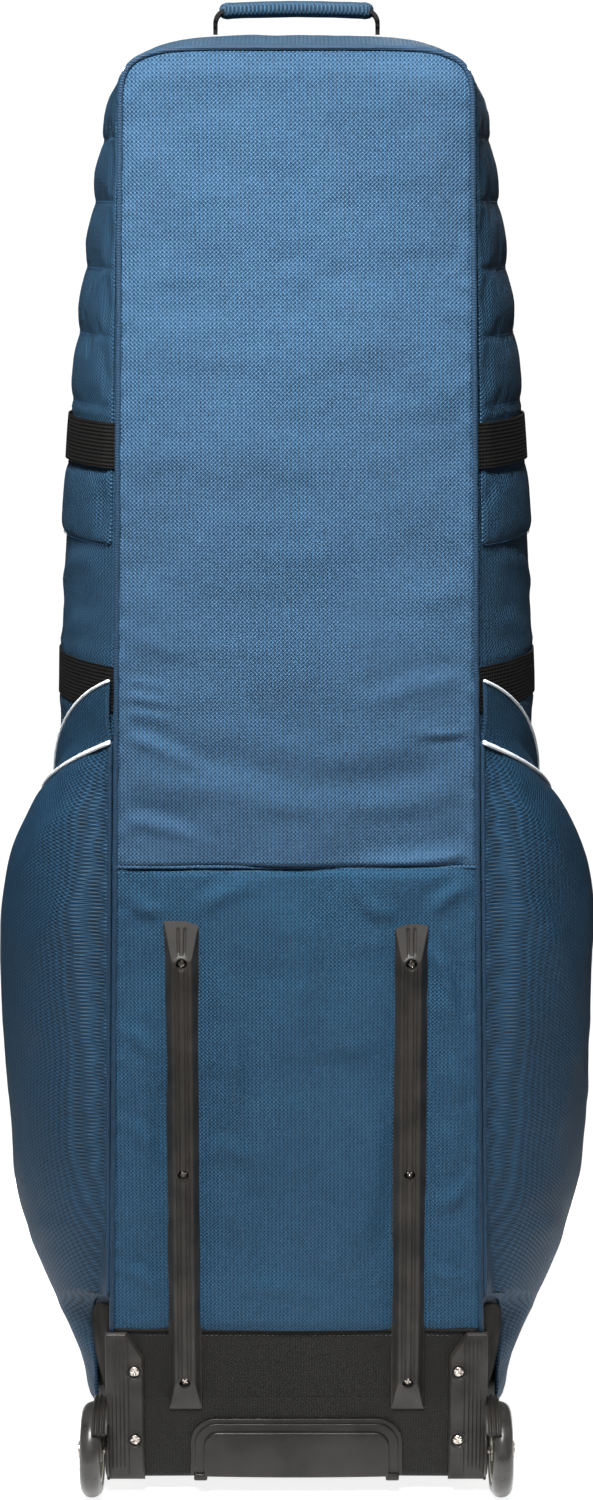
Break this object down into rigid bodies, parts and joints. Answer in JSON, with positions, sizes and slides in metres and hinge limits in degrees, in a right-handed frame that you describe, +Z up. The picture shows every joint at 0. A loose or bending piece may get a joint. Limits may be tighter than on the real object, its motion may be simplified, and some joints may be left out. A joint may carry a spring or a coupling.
{
  "type": "golf travel case",
  "caption": "Tall soft-sided golf travel case on two wheels, with a hinged zip-round front cover, side pockets, compression straps, skid rails and a top handle.",
  "frame": {"origin": "centre of the footprint on the floor the case stands on", "axes": "+Z up the case's height, -Y towards its back with the skid rails and wheels, +X to the right seen from the back"},
  "size_m": [0.5358, 0.366, 1.3045],
  "materials": {
    "upper_cloth": "woven",
    "lower_cloth": "woven",
    "cover_cloth": "woven",
    "side_cloth": "woven",
    "handle_cloth": "woven",
    "board": "matte",
    "tray_plastic": "textured",
    "trim_plastic": "satin",
    "buckle_plastic": "satin",
    "pull_plastic": "satin",
    "webbing": "ribbed",
    "screw_steel": "satin",
    "zip_metal": "satin",
    "tyre": "smooth",
    "hub": "gloss",
    "piping": "smooth"
  },
  "bodies": {
    "case": {"back_panel_upper": "upper_cloth", "back_panel_lower": "lower_cloth", "side_pocket_left": "lower_cloth", "side_pocket_right": "lower_cloth", "side_wall_left": "side_cloth", "side_wall_right": "side_cloth", "top_gusset": "side_cloth", "quilted_pad_left": "side_cloth", "quilted_pad_right": "side_cloth", "back_board": "board", "base_tray": "tray_plastic", "kick_plate": "trim_plastic", "front_foot_left": "trim_plastic", "front_foot_right": "trim_plastic", "skid_rail_left": "trim_plastic", "skid_rail_right": "trim_plastic", "corner_guard_left": "trim_plastic", "corner_guard_right": "trim_plastic", "buckle_socket_upper_left": "buckle_plastic", "buckle_socket_upper_right": "buckle_plastic", "buckle_socket_lower_left": "buckle_plastic", "buckle_socket_lower_right": "buckle_plastic", "strap_upper_left": "webbing", "strap_upper_right": "webbing", "strap_lower_left": "webbing", "strap_lower_right": "webbing", "rail_screw_lower_left": "screw_steel", "rail_screw_lower_right": "screw_steel", "rail_screw_middle_left": "screw_steel", "rail_screw_middle_right": "screw_steel", "rail_screw_upper_left": "screw_steel", "rail_screw_upper_right": "screw_steel", "guard_screw_lower_left": "screw_steel", "guard_screw_lower_right": "screw_steel", "guard_screw_upper_left": "screw_steel", "guard_screw_upper_right": "screw_steel", "axle_bolt_left": "screw_steel", "axle_bolt_right": "screw_steel", "pocket_slider_left": "zip_metal", "pocket_slider_right": "zip_metal", "pocket_piping_left": "piping", "pocket_piping_right": "piping"},
    "wheel_left": {"tyre_left": "tyre", "hub_left": "hub"},
    "wheel_right": {"tyre_right": "tyre", "hub_right": "hub"},
    "cover": {"front_cover": "cover_cloth", "buckle_plug_upper_left": "buckle_plastic", "buckle_plug_upper_right": "buckle_plastic", "buckle_plug_lower_left": "buckle_plastic", "buckle_plug_lower_right": "buckle_plastic"},
    "handle": {"handle_strap": "webbing", "handle_grip": "handle_cloth"},
    "slider_lower": {"zip_slider_lower": "zip_metal"},
    "slider_upper": {"zip_slider_upper": "zip_metal"},
    "pull_lower": {"zip_pull_lower": "pull_plastic"},
    "pull_upper": {"zip_pull_upper": "pull_plastic"},
    "pocket_pull_left": {"pocket_pull_left": "pull_plastic"},
    "pocket_pull_right": {"pocket_pull_right": "pull_plastic"}
  },
  "joints": [
    {"name": "wheel_left_spin", "type": "hinge", "parent": "case", "child": "wheel_left", "pos_m": [-0.183, -0.141, 0.042], "axis": [1, 0, 0], "continuous": true},
    {"name": "wheel_right_spin", "type": "hinge", "parent": "case", "child": "wheel_right", "pos_m": [0.183, -0.141, 0.042], "axis": [1, 0, 0], "continuous": true},
    {"name": "cover_hinge", "type": "hinge", "parent": "case", "child": "cover", "pos_m": [0, 0.1833, 0.0993], "axis": [-1, 0, 0], "range_deg": [0, 92]},
    {"name": "handle_hinge", "type": "hinge", "parent": "case", "child": "handle", "pos_m": [0, -0.038, 1.285], "axis": [1, 0, 0], "range_deg": [-50, 50]},
    {"name": "slider_lower_travel", "type": "slide", "parent": "case", "child": "slider_lower", "axis": [0.022, 0, -0.9998], "range_m": [0, 0.23]},
    {"name": "slider_upper_travel", "type": "slide", "parent": "case", "child": "slider_upper", "axis": [-0.022, 0, 0.9998], "range_m": [0, 0.2]},
    {"name": "pull_lower_swing", "type": "hinge", "parent": "slider_lower", "child": "pull_lower", "pos_m": [0.19301, 0.072, 0.438], "axis": [0, -1, 0], "range_deg": [0, 150]},
    {"name": "pull_upper_swing", "type": "hinge", "parent": "slider_upper", "child": "pull_upper", "pos_m": [0.19244, 0.072, 0.464], "axis": [0, -1, 0], "range_deg": [0, 150]},
    {"name": "pocket_pull_left_swing", "type": "hinge", "parent": "case", "child": "pocket_pull_left", "pos_m": [-0.23935, 0.02383, 0.57881], "axis": [0, 1, 0], "range_deg": [0, 150]},
    {"name": "pocket_pull_right_swing", "type": "hinge", "parent": "case", "child": "pocket_pull_right", "pos_m": [0.23935, 0.02383, 0.57881], "axis": [0, -1, 0], "range_deg": [0, 150]}
  ]
}
